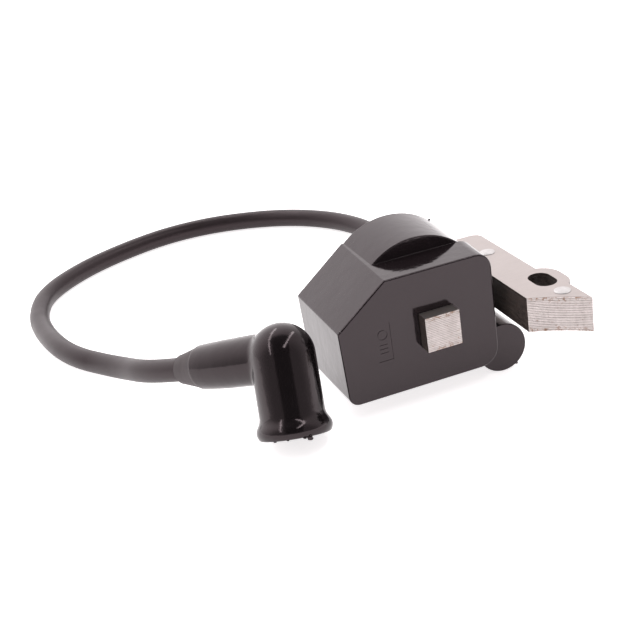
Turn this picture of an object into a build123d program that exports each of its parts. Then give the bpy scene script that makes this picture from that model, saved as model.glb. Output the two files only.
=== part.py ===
"""Potted ignition module for a small two-stroke engine, with its plug lead and boot.

Built in a local frame in millimetres: X runs across the pole pieces, Y runs back from
the flywheel, Z is the direction the core laminations are stacked in. The lower left
corner of the housing's front face is the local zero. SHIFT then moves every solid so
that the row's origin is under the middle of the module, on the surface it lies on.
"""

import os
from math import cos, pi, radians, sin, sqrt, tan

from build123d import *

# housing
HOUSING_W = 45.0
HOUSING_H = 33.6
HOUSING_D = 31.0
CHAMFER_X = 14.1
CHAMFER_Z = 22.3
LEFT_LEAN = 0.5
DRAFT_GROWTH = 0.9
WALL = 2.0
SHELF_D = 11.35
BUMP_X = 28.0
BUMP_Z = 18.8
BUMP_R = 19.8
BUMP_R_BACK = 20.7
ROUND_LOW_Z = 26.5
TOP_RIGHT_R = 4.5
BOTTOM_RIGHT_R = 5.5
BOTTOM_LEFT_R = 3.0
EDGE_R = 0.5
WINDOW_GAP = 0.15

# high tension outlet boss
BOSS_X = 48.2
BOSS_Z = 1.8
BOSS_R = 7.3
BOSS_Y = 4.0
BOSS_CAP = 2.5
CONTACT_R = 1.5
MOUTH_R = 5.2
MOUTH_Y = 27.0

# resin and stop switch tab
RESIN_Y0 = 26.5
RESIN_GAP = 0.6
TAB_X0 = 33.6
TAB_X1 = 38.4
TAB_Y0 = 25.4
TAB_Y1 = 37.0
TAB_Z0 = 6.4
TAB_Z1 = 7.2

# core
LAMINATION = 0.5
LAMINATIONS = 20
STACK = LAMINATION * LAMINATIONS
LEG_X = 27.5
LEG_Z = 16.6
LEG_W = 10.0
POLE_Y = -4.1
FLYWHEEL_R = 51.0
OUTER_IN_X = 49.8
OUTER_OUT_X = 61.7
TIP_OUT_X = 63.6
YOKE_Y = 31.6
CORE_BACK_Y = 42.0
CORNER_R = 3.0
SLOT_R = 3.1
SLOT_HALF = 1.7
SLOT1_X = 59.35
SLOT1_Y = -1.0
SLOT2_X = 41.0
SLOT2_Y = 43.5
EAR_R = 6.5
RIVETS = [(59.8, -10.6), (56.8, 26.4), (27.5, 36.8)]
RIVET_R = 1.5
RIVET_HEAD_R = 2.3
RIVET_HEAD_T = 0.35

# windings, all around the inner leg
COIL_Y0 = 3.0
COIL_Y1 = 25.0
PRIMARY_TUBE_R = 8.0
PRIMARY_WIRE_R = 9.3
PRIMARY_FLANGE_R = 9.5
FILM_R = 9.8
SECONDARY_TUBE_R = 10.6
SECONDARY_WIRE_R = 13.4
SECONDARY_FLANGE_R = 14.1
FLANGE_T = 0.8
SECTIONS = 5

# trigger board
BOARD_X0 = 4.0
BOARD_X1 = 5.0

# plug lead and boot
LEAD_R = 3.5
TABLE_Z = BOSS_Z - BOSS_R
LEAD_START_Y = 12.0
PIN_R = 0.7
PIN_L = 6.0
ELBOW_X = -14.45
ELBOW_Y = 6.88
BOOT_LEAN = 25.0
LEAN_TURN = 15.48
ARM_SWING = 34.86
BOOT_R = 8.85
LIP_R = 10.15
LIP_ROUND = 2.0
BOOT_H = 30.4
INLET_H = 21.5
ARM_R = 7.1
ARM_MID = 12.0
ARM_MID_R = 6.9
ARM_EDGE = 28.5
ARM_EDGE_R = 6.35
CONE_R = 6.15
CONE_END_R = 4.3
INLET_END = 36.3
LEAD_END = 9.0
LEAD_STRAIGHT = 44.0
PLUG_BORE_R = 5.5
PLUG_BORE_L = 16.0
PLUG_SEAL_L = 9.0
CLIP_R = 3.5

SHIFT = (-32.22, -16.3125, -TABLE_Z)

STACK_Z0 = LEG_Z - STACK / 2
STACK_Z1 = LEG_Z + STACK / 2

# the lead's route, from inside the boss to inside the boot
ROUTE = [
    (BOSS_X, LEAD_START_Y, BOSS_Z),
    (48.2, 57.0, 1.8),
    (57.5, 100.0, -2.0),
    (57.0, 140.0, -1.9),
    (34.5, 172.0, -2.0),
    (-5.0, 187.0, -1.9),
    (-43.5, 175.0, -2.0),
    (-67.0, 154.0, -1.9),
    (-73.0, 132.0, -2.0),
    (-71.7, 111.3, -2.0),
    (-66.0, 85.7, -0.5),
    (-54.0, 68.2, -0.5),
]


def save(shape, name):
    """Move a solid, or a list of separate ones, into the row frame and write it."""
    if isinstance(shape, list):
        placed = Compound([Pos(*SHIFT) * s.solid() for s in shape])
    else:
        placed = Pos(*SHIFT) * shape
    export_step(placed, "parts/" + name + ".step")


def face_at(points, y):
    """A flat face from (x, z) points, standing at depth y."""
    corners = [(x, y, z) for x, z in points]
    return make_face(Polyline(*corners, close=True))


def plan_face(points, z):
    """A flat face from (x, y) points, lying at height z."""
    corners = [(x, y, z) for x, y in points]
    return make_face(Polyline(*corners, close=True))


def grown(points, growth):
    """Offset a convex outline, listed anticlockwise, outward by growth."""
    lines = []
    for i in range(len(points)):
        x0, z0 = points[i]
        x1, z1 = points[(i + 1) % len(points)]
        length = sqrt((x1 - x0) ** 2 + (z1 - z0) ** 2)
        nx = (z1 - z0) / length
        nz = -(x1 - x0) / length
        lines.append((nx, nz, nx * x0 + nz * z0 + growth))
    out = []
    for i in range(len(points)):
        a, b, c = lines[i - 1]
        d, e, f = lines[i]
        det = a * e - b * d
        out.append(((c * e - b * f) / det, (a * f - c * d) / det))
    return out


def outline():
    """The housing's front outline."""
    return [
        (0.0, 0.0),
        (HOUSING_W, 0.0),
        (HOUSING_W, HOUSING_H),
        (CHAMFER_X, HOUSING_H),
        (-LEFT_LEAN, CHAMFER_Z),
    ]


def y_cylinder(radius, x, z, y0, y1):
    """A cylinder along Y from y0 to y1."""
    disc = Plane(origin=(x, y0, z), x_dir=(1, 0, 0), z_dir=(0, 1, 0)) * Circle(radius)
    return extrude(disc, amount=y1 - y0)


def y_ring(outer, inner, x, z, y0, y1):
    """A ring along Y."""
    return y_cylinder(outer, x, z, y0, y1) - y_cylinder(inner, x, z, y0, y1)


def block(x0, x1, y0, y1, z0, z1):
    """A box from its two corners."""
    centre = Pos((x0 + x1) / 2, (y0 + y1) / 2, (z0 + z1) / 2)
    return centre * Box(x1 - x0, y1 - y0, z1 - z0)


def cone_at(x, z, r0, r1, y0, y1):
    """A cone frustum along Y."""
    a = Plane(origin=(x, y0, z), x_dir=(1, 0, 0), z_dir=(0, 1, 0)) * Circle(r0)
    b = Plane(origin=(x, y1, z), x_dir=(1, 0, 0), z_dir=(0, 1, 0)) * Circle(r1)
    return loft([a, b])


def depth_edges(solid, x, z):
    """The long edges that start near (x, z) on the front face."""
    found = []
    for e in solid.edges():
        c = e.center()
        if e.length > HOUSING_D * 0.9:
            if abs(c.X - x) < 1.5 and abs(c.Z - z) < 1.5:
                found.append(e)
    return found


def housing_body(points, growth, y0, y1, radii):
    """A tapered block with rounded long corners."""
    solid = loft([face_at(points, y0), face_at(grown(points, growth), y1)])
    solid = fillet(depth_edges(solid, points[0][0], points[0][1]), radii[0])
    solid = fillet(depth_edges(solid, points[1][0], points[1][1]), radii[1])
    solid = fillet(depth_edges(solid, points[2][0], points[2][1]), radii[2])
    return solid


def bump(shrink, y0, y1):
    """The raised round back over the coil, cut off just above the top face."""
    cone = cone_at(BUMP_X, BUMP_Z, BUMP_R - shrink, BUMP_R_BACK - shrink, y0, y1)
    return cone & block(8, 50, y0, y1, HOUSING_H - 3.0, HOUSING_H + 12)


def outside_round(shrink, y0, y1):
    """What a square top right corner would add outside the round back."""
    cone = cone_at(BUMP_X, BUMP_Z, BUMP_R - shrink, BUMP_R_BACK - shrink, y0, y1)
    return block(38, 50, y0, y1, ROUND_LOW_Z, HOUSING_H + 3.0) - cone


def front_edges(solid):
    """The outline edges of the front face, without the window."""
    found = []
    for e in solid.edges():
        box = e.bounding_box()
        if box.max.Y < 0.01 and not inside_window(e.center()):
            found.append(e)
    return found


def inside_window(point):
    """True for points on the rim of the core's window."""
    near_x = abs(point.X - LEG_X) < LEG_W * 0.7
    near_z = abs(point.Z - LEG_Z) < LEG_W * 0.7
    return near_x and near_z


def housing():
    """The moulded cup, open at the back, with its outlet boss."""
    radii = [BOTTOM_LEFT_R, BOTTOM_RIGHT_R, TOP_RIGHT_R]
    body = housing_body(outline(), DRAFT_GROWTH, 0.0, HOUSING_D, radii)
    body = fillet(front_edges(body), EDGE_R)
    body = body - outside_round(0.0, SHELF_D, HOUSING_D)
    body = body + bump(0.0, SHELF_D, HOUSING_D)
    body = body + y_cylinder(BOSS_R, BOSS_X, BOSS_Z, BOSS_Y, HOUSING_D)
    body = body - cavity()
    half = LEG_W / 2 + WINDOW_GAP
    body = body - block(LEG_X - half, LEG_X + half, -1, 3, LEG_Z - half, LEG_Z + half)
    body = body - y_cylinder(LEAD_R, BOSS_X, BOSS_Z, LEAD_START_Y, HOUSING_D + 1)
    body = body - y_cylinder(CONTACT_R, BOSS_X, BOSS_Z, BOSS_Y + BOSS_CAP, LEAD_START_Y + 1)
    body = body - y_cylinder(MOUTH_R, BOSS_X, BOSS_Z, MOUTH_Y, HOUSING_D + 1)
    body = body - wire_passage()
    return body


def wire_passage():
    """The hole that lets the high tension wire into the boss."""
    return block(38.0, BOSS_X, 8.0, 10.0, 4.2, 5.2) + block(47.7, 48.7, 8.0, 10.0, 1.8, 5.2)


def cavity():
    """The space inside the cup, with the boss's wall left standing in it."""
    inner = grown(outline(), -WALL)
    space = housing_body(inner, DRAFT_GROWTH, WALL, HOUSING_D + 1, [1.2, 3.5, 2.6])
    space = space - outside_round(WALL, SHELF_D + WALL, HOUSING_D + 1)
    space = space + bump(WALL, SHELF_D + WALL, HOUSING_D + 1)
    return space - y_cylinder(BOSS_R, BOSS_X, BOSS_Z, BOSS_Y - 1, HOUSING_D + 2)


def resin():
    """The cast backfill, a little below the rim."""
    slab = cavity() & block(-10, 60, RESIN_Y0, HOUSING_D - RESIN_GAP, -5, 60)
    half = LEG_W / 2
    slab = slab - block(LEG_X - half, LEG_X + half, 20, 40, LEG_Z - half, LEG_Z + half)
    slab = slab - block(TAB_X0, TAB_X1, 20, 40, TAB_Z0, TAB_Z1)
    return slab


def slot_hull(radius, x, y, half):
    """A plan outline with two round ends, half apart along Y from the centre."""
    a = Pos(x, y) * Rectangle(2 * radius, 2 * half)
    b = Pos(x, y - half) * Circle(radius)
    c = Pos(x, y + half) * Circle(radius)
    return a + b + c


def core_plan():
    """The plan shape of one lamination."""
    inner = plan_face(
        [(22.5, POLE_Y), (32.5, POLE_Y), (32.5, CORE_BACK_Y), (22.5, CORE_BACK_Y)], 0
    )
    yoke = plan_face(
        [(22.5, YOKE_Y), (OUTER_OUT_X, YOKE_Y), (OUTER_OUT_X, CORE_BACK_Y), (22.5, CORE_BACK_Y)], 0
    )
    outer = plan_face(
        [(OUTER_IN_X, -30), (OUTER_OUT_X, -30), (OUTER_OUT_X, CORE_BACK_Y), (OUTER_IN_X, CORE_BACK_Y)], 0
    )
    tip = plan_face([(55, -30), (TIP_OUT_X, -30), (TIP_OUT_X, -4), (55, -4)], 0)
    plan = inner + yoke + outer + tip
    plan = plan + slot_hull(EAR_R, SLOT1_X, SLOT1_Y, SLOT_HALF)
    plan = plan + slot_hull(EAR_R, SLOT2_X, SLOT2_Y, SLOT_HALF)
    return plan


def round_core(plan):
    """Round the two outside back corners of the core."""
    picked = []
    for v in plan.vertices():
        if v.Y > 41.9 and (v.X < 23 or v.X > 61):
            picked.append(v)
    return fillet(picked, CORNER_R)


def lamination(z0, z1):
    """A slice of the core from z0 to z1."""
    body = extrude(Pos(0, 0, z0) * round_core(core_plan()), amount=z1 - z0)
    flywheel = Pos(LEG_X, POLE_Y - FLYWHEEL_R, z0 - 1)
    cut = extrude(flywheel * Circle(FLYWHEEL_R), amount=z1 - z0 + 2)
    keep = block(40, 80, -40, 0, z0 - 1, z1 + 1)
    body = body - (cut & keep)
    for x, y in [(SLOT1_X, SLOT1_Y), (SLOT2_X, SLOT2_Y)]:
        slot = Pos(0, 0, z0 - 1) * slot_hull(SLOT_R, x, y, SLOT_HALF)
        body = body - extrude(slot, amount=z1 - z0 + 2)
    for x, y in RIVETS:
        hole = Pos(x, y, z0 - 1) * Circle(RIVET_R)
        body = body - extrude(hole, amount=z1 - z0 + 2)
    return body


def z_cylinder(radius, x, y, z0, z1):
    """A cylinder along Z from z0 to z1."""
    return extrude(Pos(x, y, z0) * Circle(radius), amount=z1 - z0)


def rivet(x, y):
    """One rivet through the whole stack."""
    shank = z_cylinder(RIVET_R, x, y, STACK_Z0, STACK_Z1)
    top = z_cylinder(RIVET_HEAD_R, x, y, STACK_Z1, STACK_Z1 + RIVET_HEAD_T)
    low = z_cylinder(RIVET_HEAD_R, x, y, STACK_Z0 - RIVET_HEAD_T, STACK_Z0)
    return shank + top + low


def primary_bobbin():
    """A round former with a square hole for the leg."""
    tube = y_cylinder(PRIMARY_TUBE_R, LEG_X, LEG_Z, COIL_Y0, COIL_Y1)
    front = y_cylinder(PRIMARY_FLANGE_R, LEG_X, LEG_Z, COIL_Y0, COIL_Y0 + FLANGE_T)
    back = y_cylinder(PRIMARY_FLANGE_R, LEG_X, LEG_Z, COIL_Y1 - FLANGE_T, COIL_Y1)
    half = LEG_W / 2 + 0.05
    hole = block(LEG_X - half, LEG_X + half, 0, 40, LEG_Z - half, LEG_Z + half)
    return tube + front + back - hole


def primary_winding():
    """The low tension winding between the former's flanges."""
    y0 = COIL_Y0 + FLANGE_T
    y1 = COIL_Y1 - FLANGE_T
    return y_ring(PRIMARY_WIRE_R, PRIMARY_TUBE_R, LEG_X, LEG_Z, y0, y1)


def secondary_bobbin():
    """The outer former, with a flange at each end and between its sections."""
    body = y_ring(SECONDARY_TUBE_R, FILM_R, LEG_X, LEG_Z, COIL_Y0, COIL_Y1)
    step = (COIL_Y1 - COIL_Y0 - FLANGE_T) / SECTIONS
    for i in range(SECTIONS + 1):
        y = COIL_Y0 + i * step
        body = body + y_ring(SECONDARY_FLANGE_R, FILM_R, LEG_X, LEG_Z, y, y + FLANGE_T)
    return body


def secondary_winding():
    """The high tension winding, one ring in each section of the outer former."""
    rings = []
    step = (COIL_Y1 - COIL_Y0 - FLANGE_T) / SECTIONS
    for i in range(SECTIONS):
        y0 = COIL_Y0 + i * step + FLANGE_T
        y1 = COIL_Y0 + (i + 1) * step
        rings.append(y_ring(SECONDARY_WIRE_R, SECONDARY_TUBE_R, LEG_X, LEG_Z, y0, y1))
    return rings


def resistors():
    """Two axial resistors with bent legs."""
    made = []
    for z in (4.6, 7.0):
        made.append(axial_part(0.95, 3.6, 17.5, z))
    return made


def axial_part(radius, length, y, z):
    """An axial component lying along Y above the board, with its two legs."""
    x = BOARD_X1 + radius + 0.4
    body = y_cylinder(radius, x, z, y - length / 2, y + length / 2)
    wire = y_cylinder(0.3, x, z, y - length / 2 - 1.0, y + length / 2 + 1.0)
    near = x_cylinder(0.3, y - length / 2 - 1.0, z, BOARD_X1, x)
    far = x_cylinder(0.3, y + length / 2 + 1.0, z, BOARD_X1, x)
    return body + wire + near + far


def x_cylinder(radius, y, z, x0, x1):
    """A cylinder along X from x0 to x1."""
    disc = Plane(origin=(x0, y, z), x_dir=(0, 1, 0), z_dir=(1, 0, 0)) * Circle(radius)
    return extrude(disc, amount=x1 - x0)


def transistor():
    """A flat power transistor with three legs into the board."""
    body = block(7.0, 9.6, 6.0, 13.5, 12.5, 19.5)
    for i in range(3):
        y = 7.5 + i * 2.25
        leg = block(8.0, 8.5, y - 0.35, y + 0.35, 9.8, 12.5)
        turn = block(BOARD_X1, 8.5, y - 0.35, y + 0.35, 9.3, 9.8)
        body = body + leg + turn
    return body


def control_ic():
    """An eight-legged chip on the board."""
    body = block(5.3, 6.9, 15.5, 19.4, 12.0, 17.0)
    for i in range(4):
        z = 12.6 + i * 1.27
        body = body + block(BOARD_X1, 5.5, 14.7, 16.0, z - 0.2, z + 0.2)
        body = body + block(BOARD_X1, 5.5, 19.0, 20.2, z - 0.2, z + 0.2)
    return body


def capacitor():
    """A small disc capacitor on two legs."""
    body = x_cylinder(2.4, 9.0, 5.8, 6.2, 8.2)
    body = body + block(BOARD_X1, 7.2, 7.9, 8.3, 5.6, 6.0)
    return body + block(BOARD_X1, 7.2, 9.7, 10.1, 5.6, 6.0)


def spike():
    """The brass contact in the boss, with a pin that goes into the lead's core."""
    shoulder = y_cylinder(CONTACT_R, BOSS_X, BOSS_Z, BOSS_Y + BOSS_CAP, LEAD_START_Y)
    shoulder = shoulder - block(47.7, 48.7, 8.0, 10.0, 1.8, 5.2)
    return shoulder + y_cylinder(PIN_R, BOSS_X, BOSS_Z, LEAD_START_Y, LEAD_START_Y + PIN_L)


def tension_wire():
    """The wire from the outer winding's first section to the contact in the boss."""
    across = x_cylinder(0.35, 9.0, 4.7, 34.4, BOSS_X + 0.35)
    down = z_cylinder(0.35, BOSS_X, 9.0, 1.8, 4.7)
    return across + down


def grommet():
    """The rubber seal around the lead in the boss's mouth."""
    seal = y_cylinder(MOUTH_R, BOSS_X, BOSS_Z, MOUTH_Y, HOUSING_D)
    seal = seal + cone_at(BOSS_X, BOSS_Z, 5.0, 4.3, HOUSING_D, HOUSING_D + 3.0)
    return seal - y_cylinder(LEAD_R, BOSS_X, BOSS_Z, 26.0, HOUSING_D + 4)


def corner_radii(points):
    """The arc radius at each corner of the lead's route."""
    radii = []
    for i in range(1, len(points) - 1):
        before = Vector(*points[i]) - Vector(*points[i - 1])
        after = Vector(*points[i + 1]) - Vector(*points[i])
        half = radians(before.get_angle(after)) / 2
        radii.append(0.45 * min(before.length, after.length) / tan(half))
    return radii


def boot_frame():
    """The boot's own frame: zero at the middle of its open end, Z up its axis, X out along its arm."""
    lean = radians(BOOT_LEAN)
    turn = radians(LEAN_TURN)
    swing = radians(ARM_SWING)
    up = Vector(sin(turn) * sin(lean), cos(turn) * sin(lean), cos(lean))
    side = Vector(-cos(turn), sin(turn), 0)
    away = Vector(sin(turn) * cos(lean), cos(turn) * cos(lean), -sin(lean))
    arm = side * cos(swing) + away * sin(swing)
    rest_z = TABLE_Z + LIP_ROUND * (1 - cos(lean)) + (LIP_R - LIP_ROUND) * sin(lean)
    elbow = Vector(ELBOW_X, ELBOW_Y, rest_z + INLET_H * up.Z)
    return Plane(origin=elbow - up * INLET_H, x_dir=arm, z_dir=up)


def inlet_point(distance):
    """A point on the arm's axis, in the local frame."""
    frame = boot_frame()
    return frame.origin + frame.z_dir * INLET_H + frame.x_dir * distance


def arm_cylinder(radius, d0, d1):
    """A cylinder along the arm's axis, in the boot's frame."""
    plane = Plane(origin=(d0, 0, INLET_H), x_dir=(0, 1, 0), z_dir=(1, 0, 0))
    return extrude(plane * Circle(radius), amount=d1 - d0)


def arm_cone(r0, r1, d0, d1):
    """A cone frustum along the arm's axis, in the boot's frame."""
    a = Plane(origin=(d0, 0, INLET_H), x_dir=(0, 1, 0), z_dir=(1, 0, 0))
    b = Plane(origin=(d1, 0, INLET_H), x_dir=(0, 1, 0), z_dir=(1, 0, 0))
    return loft([a * Circle(r0), b * Circle(r1)])


def lead_route():
    """The whole route, ending on the arm's axis inside the boot."""
    straight = inlet_point(LEAD_STRAIGHT)
    inside = inlet_point(LEAD_END)
    return ROUTE + [tuple(straight), tuple(inside)]


def lead_tube():
    """The plug lead as one plain round tube of full section."""
    points = lead_route()
    radii = corner_radii(points)
    path = FilletPolyline(*points, radius=radii)
    start = Plane(origin=points[0], x_dir=(1, 0, 0), z_dir=(0, 1, 0))
    tube = sweep(start * Circle(LEAD_R), path=path)
    expected = pi * LEAD_R**2 * path.length
    print("lead length mm", round(path.length, 1), "radii", [round(r) for r in radii])
    print("tube volume over section times length", round(tube.volume / expected, 4))
    return tube


def lead(tube):
    """The lead, drilled at each end for the pins that go into its core."""
    tube = tube - y_cylinder(PIN_R, BOSS_X, BOSS_Z, LEAD_START_Y - 1, LEAD_START_Y + PIN_L)
    return tube - boot_frame().location * arm_cylinder(PIN_R, LEAD_END - 1, LEAD_END + PIN_L)


def boot_profile():
    """Half of the boot's body in its own frame: the lip, the barrel and the dome."""
    lip = LIP_R - LIP_ROUND
    a = Line((0, 0), (lip, 0))
    b = ThreePointArc((lip, 0), (LIP_R, LIP_ROUND), (lip + 1.22, LIP_ROUND + 1.585))
    c = Spline(
        (lip + 1.22, LIP_ROUND + 1.585),
        (BOOT_R, 6.4),
        tangents=[(-0.79, 0.61), (0, 1)],
    )
    d = Line((BOOT_R, 6.4), (BOOT_R, BOOT_H - BOOT_R))
    e = ThreePointArc(
        (BOOT_R, BOOT_H - BOOT_R),
        (BOOT_R * sqrt(0.5), BOOT_H - BOOT_R * (1 - sqrt(0.5))),
        (0, BOOT_H),
    )
    f = Line((0, BOOT_H), (0, 0))
    return make_face([a, b, c, d, e, f])


def boot(tube):
    """The rubber elbow boot, which follows the lead where it grips it."""
    stand = Plane(origin=(0, 0, 0), x_dir=(1, 0, 0), z_dir=(0, -1, 0))
    body = revolve(stand * boot_profile(), axis=Axis.Z)
    body = body + arm_cone(ARM_R, ARM_MID_R, 0.0, ARM_MID)
    body = body + arm_cone(ARM_MID_R, ARM_EDGE_R, ARM_MID, ARM_EDGE)
    body = body + arm_cone(CONE_R, CONE_END_R, ARM_EDGE, INLET_END)
    body = body - z_cylinder(PLUG_BORE_R, 0, 0, -1, PLUG_SEAL_L)
    body = body - z_cylinder(PLUG_BORE_R - 0.3, 0, 0, PLUG_SEAL_L - 1, PLUG_BORE_L)
    body = body - z_cylinder(CLIP_R + 0.1, 0, 0, PLUG_BORE_L - 1, INLET_H + 4.0)
    body = body - arm_cylinder(1.2, 0, LEAD_END + 1)
    return boot_frame().location * body - tube


def clip():
    """The spring terminal in the boot: a split sleeve with a pin into the lead."""
    z0 = PLUG_BORE_L - 6.0
    z1 = INLET_H + 3.4
    sleeve = z_cylinder(CLIP_R, 0, 0, z0, z1)
    sleeve = sleeve - z_cylinder(CLIP_R - 0.6, 0, 0, z0 - 1.0, z1 - 0.6)
    slit = Pos(-3.0, 0, PLUG_BORE_L - 1.5) * Box(3.0, 1.2, 9.2)
    pin = arm_cylinder(PIN_R, CLIP_R - 0.9, LEAD_END + PIN_L) - arm_cylinder(9, 0, CLIP_R - 0.55)
    return boot_frame().location * (sleeve - slit + pin)


def core_solids():
    """Write the core's stack, its end sheets and its rivets."""
    save(lamination(STACK_Z0 + LAMINATION, STACK_Z1 - LAMINATION), "core_stack")
    save(lamination(STACK_Z1 - LAMINATION, STACK_Z1), "core_top_lamination")
    save(lamination(STACK_Z0, STACK_Z0 + LAMINATION), "core_bottom_lamination")
    save([rivet(x, y) for x, y in RIVETS], "core_rivets")


def coil_solids():
    """Write the windings and their formers."""
    save(primary_bobbin(), "primary_bobbin")
    save(primary_winding(), "primary_winding")
    film = y_ring(FILM_R, PRIMARY_FLANGE_R, LEG_X, LEG_Z, COIL_Y0, COIL_Y1)
    save(film, "interlayer_film")
    save(secondary_bobbin(), "secondary_bobbin")
    save(secondary_winding(), "secondary_winding")


def board_solids():
    """Write the trigger board and what is on it."""
    save(block(BOARD_X0, BOARD_X1, 4.5, 22.5, 3.0, 20.0), "circuit_board")
    save(transistor(), "switch_transistor")
    save(control_ic(), "control_chip")
    save(resistors(), "resistors")
    save(capacitor(), "timing_capacitor")
    save(axial_part(1.2, 4.2, 17.5, 9.7), "diode")


def terminal_solids():
    """Write the contacts and the small wires."""
    tab = block(TAB_X0, TAB_X1, TAB_Y0, TAB_Y1, TAB_Z0, TAB_Z1)
    hole = z_cylinder(0.9, (TAB_X0 + TAB_X1) / 2, TAB_Y1 - 2.4, TAB_Z0 - 1, TAB_Z1 + 1)
    save(tab - hole, "stop_terminal")
    save(earth_strip(), "earth_strip")
    save(spike(), "ht_contact")
    save(tension_wire(), "ht_wire")


def earth_strip():
    """The strip that earths the board to the core's inner leg."""
    z1 = STACK_Z0
    flat = block(BOARD_X1, 26.0, 25.5, 26.3, z1 - 1.2 - 5.0, z1 - 5.0)
    rise = block(25.0, 26.0, 25.5, 26.3, z1 - 5.0, z1)
    back = block(BOARD_X1, BOARD_X1 + 0.5, 21.0, 26.3, z1 - 6.2, z1 - 5.0)
    return flat + rise + back


def lead_solids():
    """Write the lead, its seal, the boot and the boot's terminal."""
    save(grommet(), "lead_grommet")
    tube = lead_tube()
    save(lead(tube), "ht_lead")
    save(boot(tube), "plug_boot")
    save(clip(), "plug_clip")


os.makedirs("parts", exist_ok=True)
save(housing(), "housing")
save(resin(), "potting_resin")
core_solids()
coil_solids()
board_solids()
terminal_solids()
lead_solids()
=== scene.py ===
"""Looks, lead, lights and camera for a flywheel ignition coil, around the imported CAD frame.

Meshes are made in the part's own local millimetres: X across the poles, Y back from the
flywheel, Z up, zero at the lower left corner of the housing's front face. TO_ROW moves
them into the row frame, in metres, where z = 0 is the surface the coil lies on.
"""

import math
import random

import bmesh
import bpy
import numpy as np
from mathutils import Matrix, Vector


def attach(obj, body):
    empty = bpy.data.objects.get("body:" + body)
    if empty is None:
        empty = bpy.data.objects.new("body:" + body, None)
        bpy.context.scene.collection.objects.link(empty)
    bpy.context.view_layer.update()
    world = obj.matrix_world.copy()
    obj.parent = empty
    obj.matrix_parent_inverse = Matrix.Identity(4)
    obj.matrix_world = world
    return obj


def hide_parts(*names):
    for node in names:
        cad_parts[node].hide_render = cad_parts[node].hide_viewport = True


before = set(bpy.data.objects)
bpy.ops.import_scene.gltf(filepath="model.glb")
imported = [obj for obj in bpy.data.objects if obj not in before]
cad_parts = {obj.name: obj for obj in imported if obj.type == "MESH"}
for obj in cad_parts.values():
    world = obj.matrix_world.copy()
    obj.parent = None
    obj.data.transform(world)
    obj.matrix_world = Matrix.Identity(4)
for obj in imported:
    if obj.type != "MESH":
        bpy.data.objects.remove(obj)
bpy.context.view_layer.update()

MM = 0.001
TABLE_Z = -5.5
TO_ROW = Matrix.Scale(MM, 4) @ Matrix.Translation((-32.22, -16.3125, -TABLE_Z))
ALONG_X = Vector((1.0, 0.0, 0.0))
ALONG_Y = Vector((0.0, 1.0, 0.0))
UP = Vector((0.0, 0.0, 1.0))

# camera
CAMERA_AT = (-70.204, -236.877, 140.395)
CAMERA_AZIMUTH = math.radians(15.481)
CAMERA_ELEVATION = math.radians(24.585)
CAMERA_ROLL = math.radians(9.480)
CAMERA_LENS = 59.0625

# housing
HOUSING_W = 45.0
HOUSING_H = 33.6
HOUSING_D = 31.0
CHAMFER_X = 14.1
CHAMFER_Z = 22.3
LEFT_LEAN = 0.5
DRAFT = 0.9
WALL = 2.0
OUTER_CORNERS = [3.0, 5.5, 4.5, 0.7, 0.7]
INNER_CORNERS = [1.2, 3.5, 2.6, 0.4, 0.4]
SHELF_D = 11.35
SHELF_TOP = 33.93
BUMP_X = 28.0
BUMP_Z = 18.8
BUMP_R = 19.8
BUMP_FLAT_Z = 29.2
ROUND_LOW_Z = 26.5
BOSS_X = 48.2
BOSS_Z = 1.8
BOSS_R = 7.3
BOSS_Y = 4.0
MOUTH_R = 5.2
MOUTH_Y = 27.0
LEAD_START_Y = 12.0
MARK_D = 0.14
RESIN_Y0 = 26.5
RESIN_GAP = 0.95

# core
LEG_X = 27.5
LEG_Z = 16.6
LEG_HALF = 5.0
WINDOW_GAP = 0.15
POLE_Y = -4.1
FLYWHEEL_R = 51.0
SHEET_T = 0.5
SHEETS = 20
SHEET_BREAK = 0.035
SHEET_SLIP = 0.02
STACK_Z0 = LEG_Z - SHEET_T * SHEETS / 2
STACK_Z1 = LEG_Z + SHEET_T * SHEETS / 2
OUTER_IN_X = 49.8
OUTER_OUT_X = 61.7
TIP_OUT_X = 63.6
YOKE_Y = 31.6
CORE_BACK_Y = 42.0
CORNER_R = 3.0
CORNER_Y = CORE_BACK_Y - CORNER_R
SLOT_R = 3.1
SLOT_HALF = 1.7
SLOT1_X = 59.35
SLOT1_Y = -1.0
SLOT2_X = 41.0
SLOT2_Y = 43.5
EAR_R = 6.5
EAR_FROM = -49.17
EAR_TO = 68.8
RIVETS = [(59.8, -10.6), (56.8, 26.4), (27.5, 36.8)]
RIVET_R = 1.5
RIVET_HEAD_R = 2.3

# stop switch tab
TAB_X0 = 33.6
TAB_X1 = 38.4
TAB_Y0 = 25.4
TAB_Y1 = 37.0
TAB_Z0 = 6.4
TAB_Z1 = 7.2
TAB_HOLE_R = 0.9

# boot and lead
ELBOW_X = -14.45
ELBOW_Y = 6.88
BOOT_LEAN = math.radians(25.0)
LEAN_TURN = math.radians(15.48)
ARM_SWING = math.radians(34.86)
BOOT_R = 8.85
BOOT_H = 30.4
LIP_R = 10.15
LIP_ROUND = 2.0
INLET_H = 21.5
ARM_END = 36.3
CONE_START = 28.1
PLUG_BORE_R = 5.5
PLUG_SEAL_L = 9.0
PLUG_BORE_L = 16.0
CLIP_HOLE_R = 3.6
CLIP_HOLE_END = 25.5
LEAD_R = 3.5
FIT_GAP = 0.02

# light
FLOOR_GLOW = 0.78
WORLD_GLOW = 1.0
WORLD_BACK = 1.85
WORLD_FRONT = 0.5
BAND_GLOW = 0.16
TUBE_HEIGHT = 0.7
TUBE_WIDTH = 0.075
TO_OPERATOR = (-0.267, -0.964, 0.0)
TO_OPERATORS_SIDE = (0.964, -0.267, 0.0)
TO_BACKDROP = (-0.20, 0.92, 0.34)


def row(x, y, z):
    """A point of the local frame, in the row frame."""
    return TO_ROW @ Vector((x, y, z))


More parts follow.
